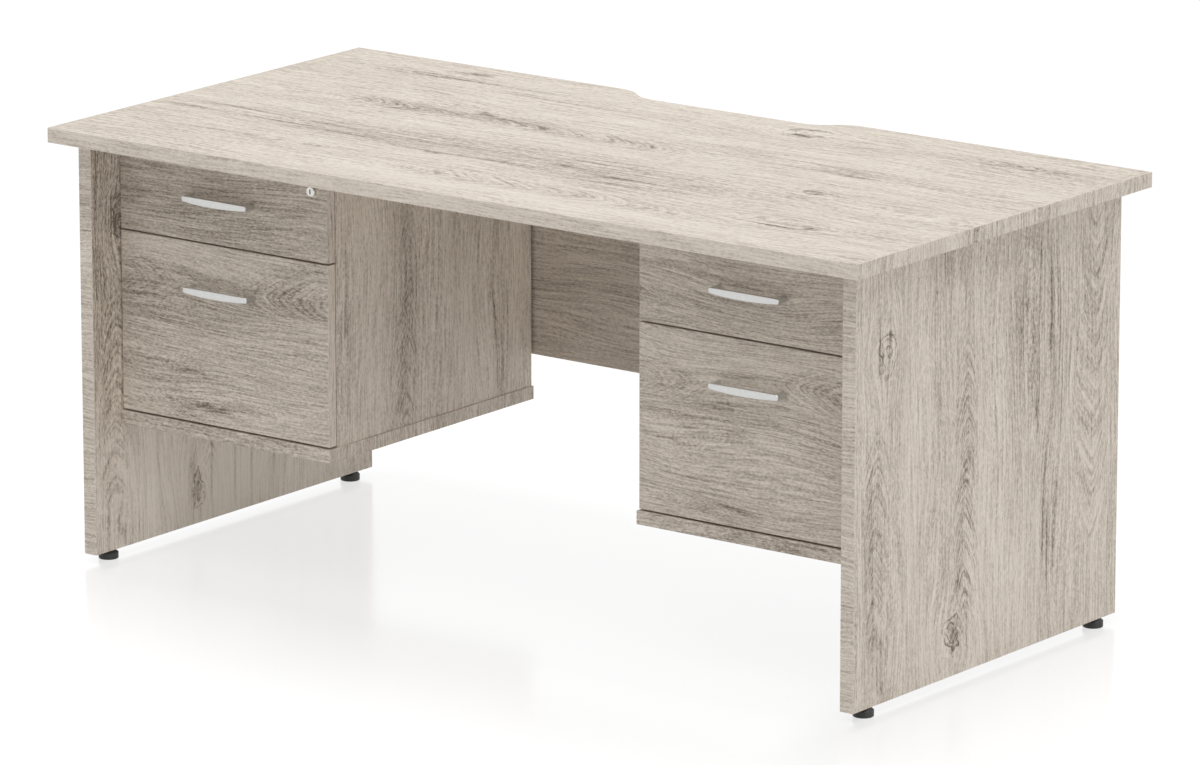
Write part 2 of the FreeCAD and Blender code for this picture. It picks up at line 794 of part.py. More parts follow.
def build_lock(side):
    """Cam lock: a flanged housing in the front, a plug turning in it, and the cam on the plug."""
    tail = "front_thick + lock_tail"
    housing = new_body(f"{side}_housing")
    profile = sketch_in(housing, f"{side}_housing_profile", "XY_Plane")
    outline(profile, [
        ("plug_radius + fit_gap", "-lock_proud"),
        ("lock_face - lock_chamfer", "-lock_proud"),
        ("lock_face", "lock_chamfer - lock_proud"),
        ("lock_face", 0),
        ("lock_body", 0),
        ("lock_body", tail),
        ("plug_radius + fit_gap", tail),
    ])
    turned(housing, profile)
    plug = new_body(f"{side}_plug")
    profile = sketch_in(plug, f"{side}_plug_profile", "XY_Plane")
    outline(profile, [
        (0, "-lock_proud"),
        ("plug_radius", "-lock_proud"),
        ("plug_radius", tail),
        ("plug_stub", tail),
        ("plug_stub", f"{tail} + cam_thick"),
        (0, f"{tail} + cam_thick"),
    ])
    turned(plug, profile)
    slot = sketch_in(plug, f"{side}_key_slot", "XZ_Plane")
    rectangle(slot, ("-key_slot_width / 2", "key_slot_width / 2"),
              ("-key_slot_height / 2", "key_slot_height / 2"))
    pocket(plug, slot, "key_slot_depth")
    cam = new_body(f"{side}_cam")
    shape = sketch_in(cam, f"{side}_cam_shape", "XZ_Plane")
    rectangle(shape, ("-cam_reach", "cam_width / 2"), ("-cam_width / 2", "cam_width / 2"))
    circle(shape, 0, 0, "plug_stub + fit_gap")
    plate = pad(cam, shape, "cam_thick", reverse=True)
    rim, thick = value("cam_width") / 2, value("cam_thick")
    rounded(cam, plate, "cam_round",
            lambda middle, edge: abs(middle.z) > rim / 2 and 0 < middle.y < thick and edge.Length < rim)
    put(housing, lock_place(side), "front_face", "lock_height")
    put(plug, lock_place(side), "front_face", "lock_height")
    put(cam, lock_place(side), "cam_front", "lock_height")
    node(f"{side}_lock_housing", housing)
    node(f"{side}_lock_plug", plug)
    node(f"{side}_lock_cam", cam)


def build_drawers():
    outer_members = []
    for side in ("left", "right"):
        for level, (bottom, top, height, rise) in LEVELS.items():
            name = f"{side}_{level}"
            slide_z = f"{bottom} + box_lift + {rise}"
            node(f"{name}_drawer_front", build_front(name, side, bottom, top, level == "upper"))
            left, right, box_top = build_box(name, side, bottom, height)
            build_handle(name, side, top)
            outer_members += slide_pair(name, "outer", side, slide_z)
            for kind in ("middle", "inner"):
                node(f"{name}_slide_{kind}s",
                     group(f"{name}_slide_{kind}s", slide_pair(name, kind, side, slide_z)))
            if level == "lower":
                build_file_rails(side, left, right, box_top)
        build_lock(side)
    node("slide_outers", group("slide_outers", outer_members))


cam_bores = cam_fixings()
screw_bores = pedestal_screws()
build_desktop(cam_bores["desktop"] + [shank for row in screw_bores.values() for shank in row])
build_panels(cam_bores, build_feet())
build_carcasses(screw_bores)
build_drawers()
doc.recompute()

# Every object must have built, and every sub-part must be a sound solid.
faults = [item.Name for item in doc.Objects if "Invalid" in item.State or "Error" in item.State]
faults += [item.Label for item in NODES if item.Shape.isNull() or not item.Shape.isValid()]
if faults:
    raise RuntimeError("did not build: " + ", ".join(faults))
os.makedirs("parts", exist_ok=True)
for item in NODES:
    item.Shape.exportStep(f"parts/{item.Label}.step")
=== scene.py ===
import math

import bmesh
import bpy
from mathutils import Matrix, Vector

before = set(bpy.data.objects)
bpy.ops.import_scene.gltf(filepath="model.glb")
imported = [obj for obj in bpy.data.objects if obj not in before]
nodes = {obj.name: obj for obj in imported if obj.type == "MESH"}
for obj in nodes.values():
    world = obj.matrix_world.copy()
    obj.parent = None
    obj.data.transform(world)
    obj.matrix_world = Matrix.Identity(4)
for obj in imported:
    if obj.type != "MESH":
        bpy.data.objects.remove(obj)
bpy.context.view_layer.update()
scene = bpy.context.scene
scene.view_settings.view_transform = "Standard"

MM = 0.001


# Colours and nodes

def srgb(code):
    """Linear colour of an sRGB hex code."""
    parts = [int(code[i:i + 2], 16) / 255 for i in (1, 3, 5)]
    return [p / 12.92 if p <= 0.04045 else ((p + 0.055) / 1.055) ** 2.4 for p in parts] + [1]


WHITE = srgb("#FFFFFF")


def add(tree, kind, links, **settings):
    """Add a node: settings are its properties, links its inputs as values or as sockets to join."""
    node = tree.nodes.new(kind)
    for key, what in settings.items():
        setattr(node, key, what)
    for key, what in links.items():
        if isinstance(what, bpy.types.NodeSocket):
            tree.links.new(what, node.inputs[key])
        else:
            node.inputs[key].default_value = what
    return node


def start_material(name):
    """A material with an empty node tree."""
    material = bpy.data.materials.new(name)
    material.use_nodes = True
    material.node_tree.nodes.clear()
    return material, material.node_tree


def dress(material, *names):
    """Give CAD nodes a material."""
    for name in names:
        slots = nodes[name].data.materials
        slots.clear()
        slots.append(material)


def set_stops(ramp, stops):
    """Put colours on a ramp, each at its place from 0 to 1."""
    elements = ramp.color_ramp.elements
    while len(elements) < len(stops):
        elements.new(0.5)
    for element, (at, code) in zip(elements, stops):
        element.position = at
        element.color = srgb(code)


def per(size):
    """How often a pattern of a given size repeats in a metre."""
    return Vector([1 / length for length in size])


# Grey oak print on melamine-faced board, matt and slightly textured. The eye sees a pale warm grey
# with short dark pores along the grain, broad tone bands, cathedral arches in places and a few knots.
# Some broad marks on the boards are painted light and shade, as noted at their tables.

OAK_TONES = [(0.0, "#6E6257"), (0.2, "#978B7E"), (0.42, "#BFB4A7"), (0.65, "#DCD1C4"), (1.0, "#F0E7DC")]
OAK_ROUGHNESS = (0.62, 0.46)                  # in the pores and between them
PORE_DEPTH = 0.3 * MM

# Sizes of the parts of the print along, across and through the grain
PORE_SIZE = Vector((8, 3, 3)) * MM            # real pores are 0.3 mm wide, drawn coarser to show
FIBRE_SIZE = Vector((90, 3.2, 3.2)) * MM      # drawn coarser in the same way
BURR_SIZE = Vector((34, 18, 18)) * MM         # makes the rings of a knot uneven
STREAK_SIZE = Vector((420, 9, 9)) * MM
BAND_SIZE = Vector((1100, 90, 90)) * MM
PATCH_SIZE = Vector((500, 150, 150)) * MM     # where streaks and growth rings show
WAVE_SIZE = Vector((300, 80, 80)) * MM        # sway of the fibres
WAVE_REACH = 22 * MM
DRIFT_SIZE = Vector((900, 130, 130)) * MM     # bend of the growth rings
DRIFT_REACH = 190 * MM
RING_PITCH = 15 * MM

# Tone, which OAK_TONES turns into colour, and how much each part of the print changes it
BASE_TONE = 0.405
PORE_WEIGHT = 1.15
FIBRE_WEIGHT = 0.6
BAND_WEIGHT = 0.4
STREAK_WEIGHT = 0.16
RING_WEIGHT = 0.13
FIBRES_IN_ARCHES = 0.45                       # share of the straight fibres that stays inside arches
PORE_BREAK = (1.3, 0.7)                       # strength of a dark line in the pores and between them

# Noise levels between which a part of the print goes from nothing to its full strength
PORE_RANGE = (0.3, 0.7)
STREAK_RANGE = (0.52, 0.75)
PATCH_RANGE = (0.4, 0.65)
KNOT_RING_RANGE = (0.48, 0.66)
ARCH_RANGE = (0.36, 0.70)

PARTING_LENGTH, PARTING_WIDTH = 3, 2.6        # reach of the parted fibres, in half sizes of the knot
PARTING_CORE = 0.15
PARTING_PUSH = 1.7                            # in half widths of the knot
KNOT_UNEVEN = 2
KNOT_RING_SCALE = 4.4
KNOT_HEART = (1.6, 1.0, 0.25)                 # outer rim, inner rim and strength
KNOT_FADE = (1.5, 0.5)                        # where the rings end and where they are full
ARCH_FADE = 0.45
ARCH_BEND = 1.5                               # power of the arch curve
ARCH_RISE = 2.2                               # how far the flanks of an arch trail behind its tip
ARCH_SLIDE = 0.45                             # slow change across the grain that breaks up the arches
ARCH_NOISE = {"Scale": 1.9, "Detail": 2.5, "Roughness": 0.6}
ARCH_PALE, ARCH_DARK = -0.5, 1.2
END_LEAN = 0.7                                # a face leaning more than this along the grain is an end


def from_middle(tree, flow, along, across, length, width):
    """Place in an ellipse and distance from its middle: the rim is 1 away."""
    scale = Vector((1 / (length * MM), 1 / (width * MM), 0))
    middle = Vector((along * MM, across * MM, 0))
    away = add(tree, "ShaderNodeVectorMath", {0: flow, 1: scale, 2: -middle * scale}, operation="MULTIPLY_ADD")
    reach = add(tree, "ShaderNodeVectorMath", {0: away.outputs[0]}, operation="LENGTH")
    return away.outputs[0], reach.outputs["Value"]


def marks(tree, flow, table):
    """Sum of soft ellipses: rows give along, across, half length, half width and strength."""
    total = 0.0
    for along, across, length, width, strength in table:
        _, reach = from_middle(tree, flow, along, across, length, width)
        soft = add(tree, "ShaderNodeMapRange",
                   {"Value": reach, "From Min": 1, "From Max": 0, "To Min": 0, "To Max": strength},
                   interpolation_type="SMOOTHSTEP")
        total = add(tree, "ShaderNodeMath", {0: soft.outputs[0], 1: total}, operation="ADD").outputs[0]
    return total


def parting(tree, flow, table):
    """How far the fibres are pushed to either side of the knots."""
    total = 0.0
    for along, across, length, width, _ in table:
        away, reach = from_middle(tree, flow, along, across, PARTING_LENGTH * length, PARTING_WIDTH * width)
        push = add(tree, "ShaderNodeMapRange",
                   {"Value": reach, "From Min": 1, "From Max": PARTING_CORE,
                    "To Max": -PARTING_PUSH * width * MM},
                   interpolation_type="SMOOTHSTEP")
        side = add(tree, "ShaderNodeSeparateXYZ", {0: away})
        total = add(tree, "ShaderNodeMath", {0: side.outputs[1], 1: push.outputs[0], 2: total},
                    operation="MULTIPLY_ADD").outputs[0]
    return total


def knot_rings(tree, flow, burr, table):
    """Dark heart of each knot with uneven rings round it; rows are those of marks."""
    total = 0.0
    rim, core, dark = KNOT_HEART
    for number, (along, across, length, width, strength) in enumerate(table):
        _, reach = from_middle(tree, flow, along, across, length, width)
        ragged = add(tree, "ShaderNodeMath", {0: burr, 1: KNOT_UNEVEN, 2: reach}, operation="MULTIPLY_ADD")
        where = add(tree, "ShaderNodeCombineXYZ", {0: ragged.outputs[0], 1: number})
        noise = add(tree, "ShaderNodeTexNoise",
                    {"Vector": where.outputs[0], "Scale": KNOT_RING_SCALE, "Detail": 1})
        rings = add(tree, "ShaderNodeMapRange",
                    {"Value": noise.outputs[0], "From Min": KNOT_RING_RANGE[0], "From Max": KNOT_RING_RANGE[1]},
                    interpolation_type="SMOOTHSTEP")
        heart = add(tree, "ShaderNodeMapRange",
                    {"Value": ragged.outputs[0], "From Min": rim, "From Max": core, "To Max": dark})
        ink = add(tree, "ShaderNodeMath", {0: rings.outputs[0], 1: heart.outputs[0]}, operation="MAXIMUM")
        inside = add(tree, "ShaderNodeMapRange",
                     {"Value": reach, "From Min": KNOT_FADE[0], "From Max": KNOT_FADE[1], "To Max": strength},
                     interpolation_type="SMOOTHSTEP")
        total = add(tree, "ShaderNodeMath", {0: ink.outputs[0], 1: inside.outputs[0], 2: total},
                    operation="MULTIPLY_ADD").outputs[0]
    return total


def arches(tree, flow, table):
    """Nested cathedral arches: rows give along, across, half length, half width, pitch, lean, strength.

    The tips of the arches point along the grain where lean is 1 and back where it is -1. The second
    result says how far a place lies inside the arches, where straight fibres fade.
    """
    total = 0.0
    calm = 0.0
    for number, (along, across, length, width, pitch, lean, strength) in enumerate(table):
        away, reach = from_middle(tree, flow, along, across, length, width)
        soft = add(tree, "ShaderNodeMapRange", {"Value": reach, "From Min": 1, "From Max": ARCH_FADE},
                   interpolation_type="SMOOTHSTEP")
        parts = add(tree, "ShaderNodeSeparateXYZ", {0: away})
        flank = add(tree, "ShaderNodeMath", {0: parts.outputs[1]}, operation="ABSOLUTE")
        curve = add(tree, "ShaderNodeMath", {0: flank.outputs[0], 1: ARCH_BEND}, operation="POWER")
        rise = add(tree, "ShaderNodeMath", {0: parts.outputs[0], 1: length / pitch}, operation="MULTIPLY")
        steps = add(tree, "ShaderNodeMath",
                    {0: curve.outputs[0], 1: lean * ARCH_RISE * width / pitch, 2: rise.outputs[0]},
                    operation="MULTIPLY_ADD")
        slide = add(tree, "ShaderNodeMath", {0: parts.outputs[1], 1: ARCH_SLIDE}, operation="MULTIPLY")
        where = add(tree, "ShaderNodeCombineXYZ", {0: steps.outputs[0], 1: slide.outputs[0], 2: number})
        noise = add(tree, "ShaderNodeTexNoise", {"Vector": where.outputs[0], **ARCH_NOISE})
        lines = add(tree, "ShaderNodeMapRange",
                    {"Value": noise.outputs[0], "From Min": ARCH_RANGE[0], "From Max": ARCH_RANGE[1],
                     "To Min": ARCH_PALE * strength, "To Max": ARCH_DARK * strength})
        total = add(tree, "ShaderNodeMath", {0: lines.outputs[0], 1: soft.outputs[0], 2: total},
                    operation="MULTIPLY_ADD").outputs[0]
        calm = add(tree, "ShaderNodeMath", {0: soft.outputs[0], 1: calm}, operation="MAXIMUM").outputs[0]
    return total, calm


def grain_flow(tree, order, end_order):
    """Place on a board along, across and through the grain, with another order of axes on its ends."""
    place = add(tree, "ShaderNodeTexCoord", {})
    axes = add(tree, "ShaderNodeSeparateXYZ", {0: place.outputs["Object"]})
    face = add(tree, "ShaderNodeCombineXYZ", {i: axes.outputs[axis] for i, axis in enumerate(order)})
    ends = add(tree, "ShaderNodeCombineXYZ", {i: axes.outputs[axis] for i, axis in enumerate(end_order)})
    facing = add(tree, "ShaderNodeSeparateXYZ", {0: place.outputs["Normal"]})
    lean = add(tree, "ShaderNodeMath", {0: facing.outputs[order[0]]}, operation="ABSOLUTE")
    at_end = add(tree, "ShaderNodeMath", {0: lean.outputs[0], 1: END_LEAN}, operation="GREATER_THAN")
    # The vector sockets of a Mix node are its inputs 4 and 5 and its output 1.
    flow = add(tree, "ShaderNodeMix", {0: at_end.outputs[0], 4: face.outputs[0], 5: ends.outputs[0]},
               data_type="VECTOR")
    return flow.outputs[1]


def wave_flow(tree, flow, origin):
    """The same place, swayed across the grain as the fibres wave a little along the board."""
    where = add(tree, "ShaderNodeVectorMath", {0: flow, 1: per(WAVE_SIZE), 2: origin * per(WAVE_SIZE)},
                operation="MULTIPLY_ADD")
    wave = add(tree, "ShaderNodeTexNoise", {"Vector": where.outputs[0], "Scale": 1, "Detail": 0})
    sway = add(tree, "ShaderNodeMapRange",
               {"Value": wave.outputs[0], "To Min": -WAVE_REACH, "To Max": WAVE_REACH})
    swayed = add(tree, "ShaderNodeCombineXYZ", {1: sway.outputs[0]})
    return add(tree, "ShaderNodeVectorMath", {0: flow, 1: swayed.outputs[0]}, operation="ADD").outputs[0]


def drawn_noises(tree, fibre, origin, coarse):
    """Noises drawn out along the fibres, by name."""
    noises = {}
    for part, size, detail, rough in (("pores", PORE_SIZE * coarse, 3, 0.8),
                                      ("fibres", FIBRE_SIZE * coarse, 3, 0.7),
                                      ("burr", BURR_SIZE, 2, 0.5), ("streaks", STREAK_SIZE, 2, 0.5),
                                      ("bands", BAND_SIZE, 3, 0.5), ("patch", PATCH_SIZE, 1, 0.5),
                                      ("drift", DRIFT_SIZE, 1, 0.5)):
        where = add(tree, "ShaderNodeVectorMath", {0: fibre, 1: per(size), 2: origin * per(size)},
                    operation="MULTIPLY_ADD")
        noise = add(tree, "ShaderNodeTexNoise",
                    {"Vector": where.outputs[0], "Scale": 1, "Detail": detail, "Roughness": rough})
        noises[part] = noise.outputs[0]
    return noises


def growth_rings(tree, fibre, drift):
    """Rings along the fibres, dark on one side."""
    across = add(tree, "ShaderNodeSeparateXYZ", {0: fibre})
    drifted = add(tree, "ShaderNodeMath", {0: drift, 1: DRIFT_REACH, 2: across.outputs[1]},
                  operation="MULTIPLY_ADD")
    turns = add(tree, "ShaderNodeMath", {0: drifted.outputs[0], 1: RING_PITCH}, operation="DIVIDE")
    saw = add(tree, "ShaderNodeMath", {0: turns.outputs[0]}, operation="FRACT")
    return add(tree, "ShaderNodeMath", {0: saw.outputs[0], 1: 2}, operation="POWER").outputs[0]


def grey_oak(name, order, end_order, shift, knots=(), shades=(), arched=(), coarse=1.0, crisp=1.0):
    """Oak print: grain along the first axis of order, lines spaced along the second.

    Faces across the grain, such as the ends of a board, use end_order. Shift picks a place
    on the printed sheet. Knots, shades and arched are tables of places on the board; on some
    boards shades also holds painted light and shade. Coarse draws the pores and fibres larger,
    and crisp makes the pores stand out more.
    """
    material, tree = start_material(name)
    origin = Vector(shift) * MM
    waved = wave_flow(tree, grain_flow(tree, order, end_order), origin)
    parted = add(tree, "ShaderNodeCombineXYZ", {1: parting(tree, waved, knots)})
    fibre = add(tree, "ShaderNodeVectorMath", {0: waved, 1: parted.outputs[0]}, operation="ADD").outputs[0]
    noises = drawn_noises(tree, fibre, origin, coarse)

    # Streaks and growth rings fade out between the patches.
    streaks = add(tree, "ShaderNodeMapRange",
                  {"Value": noises["streaks"], "From Min": STREAK_RANGE[0], "From Max": STREAK_RANGE[1]})
    shown = add(tree, "ShaderNodeMapRange",
                {"Value": noises["patch"], "From Min": PATCH_RANGE[0], "From Max": PATCH_RANGE[1]})
    flecks = add(tree, "ShaderNodeMath", {0: streaks.outputs[0], 1: shown.outputs[0]}, operation="MULTIPLY")
    rings = add(tree, "ShaderNodeMath", {0: growth_rings(tree, fibre, noises["drift"]), 1: shown.outputs[0]},
                operation="MULTIPLY")

    # The pores break up every dark line.
    gaps = add(tree, "ShaderNodeMapRange",
               {"Value": noises["pores"], "From Min": PORE_RANGE[0], "From Max": PORE_RANGE[1],
                "To Min": PORE_BREAK[0], "To Max": PORE_BREAK[1]})
    dark, calm = arches(tree, waved, arched)
    for layer, weight in ((flecks.outputs[0], STREAK_WEIGHT), (rings.outputs[0], RING_WEIGHT),
                          (marks(tree, waved, shades), 1.0),
                          (knot_rings(tree, waved, noises["burr"], knots), 1.0)):
        dark = add(tree, "ShaderNodeMath", {0: layer, 1: weight, 2: dark}, operation="MULTIPLY_ADD").outputs[0]
    broken = add(tree, "ShaderNodeMath", {0: dark, 1: gaps.outputs[0]}, operation="MULTIPLY")

    # The noise of the pores is 0.5 on average, so a crisper print keeps its mean tone.
    drawn = add(tree, "ShaderNodeMapRange",
                {"Value": noises["fibres"], "To Min": -FIBRE_WEIGHT, "To Max": FIBRE_WEIGHT})
    still = add(tree, "ShaderNodeMapRange", {"Value": calm, "To Min": 1, "To Max": FIBRES_IN_ARCHES})
    tone = BASE_TONE - 0.5 * PORE_WEIGHT * crisp
    for layer, weight in ((noises["pores"], PORE_WEIGHT * crisp), (drawn.outputs[0], still.outputs[0]),
                          (noises["bands"], BAND_WEIGHT), (broken.outputs[0], -1.0)):
        tone = add(tree, "ShaderNodeMath", {0: layer, 1: weight, 2: tone}, operation="MULTIPLY_ADD").outputs[0]
    ramp = add(tree, "ShaderNodeValToRGB", {0: tone})
    set_stops(ramp, OAK_TONES)
    rough = add(tree, "ShaderNodeMapRange",
                {"Value": noises["pores"], "To Min": OAK_ROUGHNESS[0], "To Max": OAK_ROUGHNESS[1]})
    bump = add(tree, "ShaderNodeBump", {"Strength": 0.25, "Distance": PORE_DEPTH, "Height": noises["pores"]})
    shader = add(tree, "ShaderNodeBsdfPrincipled",
                 {"Base Color": ramp.outputs[0], "Roughness": rough.outputs[0], "Normal": bump.outputs[0],
                  "IOR": 1.5, "Specular IOR Level": 0.35})
    add(tree, "ShaderNodeOutputMaterial", {0: shader.outputs[0]})
    return material


# Places on each board, in millimetres along and across its grain. A strength above 0 is darker and
# one below 0 is paler. Rows are as marks, knot_rings and arches read them.
TOP_KNOTS = [
    (203, 304, 42, 24, 0.50), (462, -58, 28, 16, 0.35), (558, -243, 64, 24, 0.16),
    (762, -85, 90, 36, 0.22),
]
TOP_SHADES = [
    (0, 0, 2400, 1400, -0.05), (-500, 300, 330, 42, 0.10), (-280, 82, 500, 52, 0.20),
    (-150, -120, 900, 75, 0.13), (600, 300, 260, 46, 0.10), (500, -130, 400, 60, 0.05),
    (425, 95, 150, 28, 0.08), (0, 200, 900, 66, -0.10), (0, -345, 800, 56, -0.08),
    (-100, 10, 700, 36, -0.07), (-350, -215, 420, 26, -0.07), (-497, 344, 42, 20, 0.42),
    (-535, 334, 44, 14, 0.28), (-292, 108, 38, 11, 0.50), (-310, 120, 26, 12, 0.30),
    (-250, 95, 44, 11, 0.36), (-150, 80, 60, 20, 0.16), (445, 72, 66, 10, 0.45), (330, 84, 110, 8, 0.24),
    (200, 320, 30, 7, 0.34), (203, 288, 34, 9, 0.60), (172, 308, 15, 10, 0.36), (234, 296, 15, 9, 0.36),
    (548, -259, 40, 9, 0.50), (400, 112, 64, 9, 0.26), (385, 80, 60, 8, 0.26), (38, -120, 38, 13, 0.30),
    (160, -150, 86, 8, 0.40), (-190, -172, 38, 13, 0.32), (500, -227, 18, 11, 0.42),
    (580, -260, 42, 9, 0.40), (606, -244, 20, 16, 0.50), (456, -52, 19, 10, 0.45),
    (476, -62, 17, 9, 0.30), (455, -95, 52, 12, 0.12), (-480, 356, 20, 12, 0.30),
    (690, 300, 46, 22, 0.16), (-600, 306, 110, 7.5, 0.30), (-490, 300, 150, 9, 0.30),
    (-370, 292, 130, 7.5, 0.18), (-720, -136, 110, 9, 0.32), (-540, -130, 150, 9, 0.32),
    (-400, -142, 150, 9, 0.28), (-540, -52, 200, 13, 0.16), (-420, -100, 280, 8, 0.18),
    (-640, -100, 130, 8, 0.22), (-330, -75, 240, 8, 0.14), (-60, -100, 260, 8, 0.12),
    (-690, -97, 90, 9, 0.23), (-590, -85, 130, 9, 0.16), (-100, -165, 270, 9, 0.30),
    (-260, -160, 150, 7.5, 0.18), (170, -181, 150, 9, 0.28), (270, -171, 90, 7.5, 0.18),
    (690, -150, 160, 9, 0.14), (-570, -246, 120, 9, 0.28), (-372, -250, 42, 13.5, 0.28),
    (-690, -250, 120, 7.5, 0.11), (-600, -312, 200, 7.5, 0.09), (270, 151, 7, 5, 0.40),
    (620, 30, 150, 9, 0.11),
]
TOP_ARCHES = [
    (-430, 74, 150, 38, 22, 1, 0.42), (-60, 70, 280, 42, 30, 1, 0.30), (110, -284, 360, 50, 30, 1, 0.27),
    (600, 298, 110, 32, 22, 1, 0.30), (-430, -245, 110, 24, 24, 1, 0.30),
    (330, -120, 120, 26, 30, -1, 0.16),
]
PANEL_KNOTS = [(567, -284, 40, 25, 0.50), (78, -102, 44, 28, 0.50)]
# Print, except two rows: the broad row at 690 along is painted shade under the desktop's overhang, and the
# broad row at 90 along makes the lower part paler, painted light from the floor. The pedestal sides carry these
# rows too, moved by SIDE_STEP.
PANEL_PRINT_AND_PAINTED_LIGHT = [
    (530, 90, 180, 64, 0.14), (480, 165, 230, 30, 0.13), (200, 170, 210, 30, 0.12),
    (300, -65, 340, 40, 0.10), (250, -310, 260, 38, 0.05), (560, 290, 170, 48, 0.04),
    (690, 0, 80, 380, 0.08), (90, -60, 160, 420, -0.06), (350, -180, 500, 60, -0.05),
    (300, 20, 400, 34, -0.04), (580, -305, 64, 2.6, 0.55), (588, -279, 17, 10, 0.36),
    (556, -298, 32, 5, 0.36), (80, -98, 36, 17, 0.26), (650, 130, 64, 2.6, 0.40), (620, 160, 84, 4, 0.22),
    (570, 160, 125, 4.5, 0.23), (505, 157, 90, 4.5, 0.22), (600, 178, 110, 4, 0.26),
    (520, 185, 140, 4, 0.30), (430, 196, 145, 5, 0.30), (250, 160, 210, 5, 0.30),
    (165, 174, 100, 5, 0.32), (200, 190, 165, 4.5, 0.30), (240, 120, 210, 4, 0.20),
    (545, 170, 100, 5, -0.20), (230, 146, 170, 6, -0.14), (430, 118, 84, 11, 0.14),
    (402, 126, 32, 8, 0.28), (368, 130, 30, 5, 0.28), (462, 110, 62, 7, 0.16), (80, 150, 84, 4, 0.16),
    (635, -145, 6, 3.5, 0.45), (62, -62, 44, 6, 0.14), (60, -297, 44, 5, 0.20), (42, -290, 22, 8, 0.24),
    (95, -60, 60, 5, 0.10),
]
# The first three rows are painted light and shade. A darker band along the front edge is painted shade for the
# panel's inside in front of the pedestal. A paler lower part is painted light bounced from the floor. The other
# rows are knots and streaks of the print.
LEFT_PANEL_PRINT_AND_PAINTED_LIGHT = [
    (560, -345, 560, 150, 0.28), (100, 20, 240, 420, -0.37), (110, -215, 200, 90, -0.14),
    (95, -120, 100, 22, 0.34), (60, -98, 60, 26, 0.22), (60, -318, 90, 8, 0.24),
    (110, -235, 140, 7, 0.22), (100, -190, 150, 6, 0.22), (110, -60, 140, 6, 0.28),
    (110, -8, 150, 8, 0.38), (120, 8, 120, 4, 0.30), (115, 45, 140, 8, 0.36), (125, 98, 130, 9, 0.40),
    (120, 127, 130, 6, 0.38), (125, 166, 130, 8, 0.38), (125, 215, 120, 7, 0.30),
    (125, 250, 130, 8, 0.36),
]
# Painted shade: the upper part of the right panel darker, under the desktop's overhang.
RIGHT_PANEL_PAINTED_SHADE = [(640, 0, 330, 600, 0.05)]
PANEL_ARCHES = [
    (440, -62, 160, 42, 17, 1, 0.26), (235, -64, 180, 42, 20, 1, 0.31), (120, -85, 80, 40, 16, 1, 0.23),
    (350, -305, 130, 46, 19, 1, 0.21), (190, -305, 130, 42, 21, 1, 0.21),
    (610, 295, 130, 62, 24, -1, 0.24), (440, 288, 180, 64, 25, -1, 0.22),
    (260, 275, 160, 62, 27, -1, 0.22),
]
UPPER_SHADES = [(-640, 600, 120, 10, 0.12), (-560, 572, 260, 7, 0.08)]
# The first row darkens the lower fronts all over, painted shade under the desktop; the other rows are print.
LOWER_PRINT_AND_PAINTED_SHADE = [
    (-525, 430, 700, 500, 0.09), (-560, 284, 150, 30, 0.13), (-573, 285, 36, 6.5, 0.34),
    (-540, 281, 32, 5.5, 0.28), (-600, 268, 70, 6, 0.14), (-640, 330, 130, 26, 0.08),
    (-540, 490, 110, 12, 0.12), (-560, 400, 200, 20, -0.05), (-380, 485, 130, 44, 0.09),
]
LOWER_ARCHES = [
    (-385, 488, 140, 48, 20, -1, 0.23), (-690, 470, 110, 40, 20, 1, 0.16),
    (-655, 280, 80, 26, 18, 1, 0.14),
]
# Painted light: the front and back faces of the desktop edging paler.
EDGING_PAINTED_LIGHT = [(0, 717, 1600, 200, -0.13)]
# Painted shade: the pedestal boards darker towards the front.
BASE_PAINTED_SHADE = [(-526, -300, 500, 300, 0.19), (526, -300, 500, 300, 0.19)]
PRINT_REPEAT = 1053                           # the marks of the left fronts come again on the right ones
SIDE_STEP = (125, -20)                        # the pedestal sides show the panels' marks moved by this

# Fronts: place on the sheet, how far the marks are moved along the grain, marks and arches
# The first mark of every front darkens it all over: painted shade under the desktop, strongest on the left
# upper front.
FRONTS = {
    "left_upper": ((3100, 60, 0), 0, [(-525, 640, 700, 400, 0.14)] + UPPER_SHADES, []),
    "left_lower": ((3600, 480, 0), 0, [(-525, 430, 700, 500, 0.04)] + LOWER_PRINT_AND_PAINTED_SHADE, LOWER_ARCHES),
    "right_upper": ((4300, 230, 0), PRINT_REPEAT, [(-525, 640, 700, 400, 0.07)] + UPPER_SHADES, []),
    "right_lower": ((4900, 610, 0), PRINT_REPEAT, LOWER_PRINT_AND_PAINTED_SHADE, LOWER_ARCHES),
}


def moved(table, along, across, fade=1.0):
    """The same marks at another place, and weaker."""
    return [(row[0] + along, row[1] + across, *row[2:-1], row[-1] * fade) for row in table]


dress(grey_oak("grey_oak_desktop", "XYZ", "ZYX", (0, 0, 0), TOP_KNOTS, TOP_SHADES, TOP_ARCHES,
               coarse=1.5, crisp=1.08), "desktop")
dress(grey_oak("grey_oak_desktop_edging", "XZY", "ZYX", (310, 40, 0), (), EDGING_PAINTED_LIGHT), "desktop_edging")
dress(grey_oak("grey_oak_right_end_panel", "ZYX", "XYZ", (130, 900, 0), PANEL_KNOTS,
               PANEL_PRINT_AND_PAINTED_LIGHT + RIGHT_PANEL_PAINTED_SHADE, PANEL_ARCHES), "right_end_panel")
dress(grey_oak("grey_oak_left_end_panel", "ZYX", "XYZ", (130, 960, 0), PANEL_KNOTS,
               PANEL_PRINT_AND_PAINTED_LIGHT + LEFT_PANEL_PRINT_AND_PAINTED_LIGHT, PANEL_ARCHES), "left_end_panel")
dress(grey_oak("grey_oak_panel_edging", "XZY", "YXZ", (20, 700, 300)), "end_panel_edging")
dress(grey_oak("grey_oak_modesty_panel", "XZY", "YZX", (2400, 130, 0)), "modesty_panel")
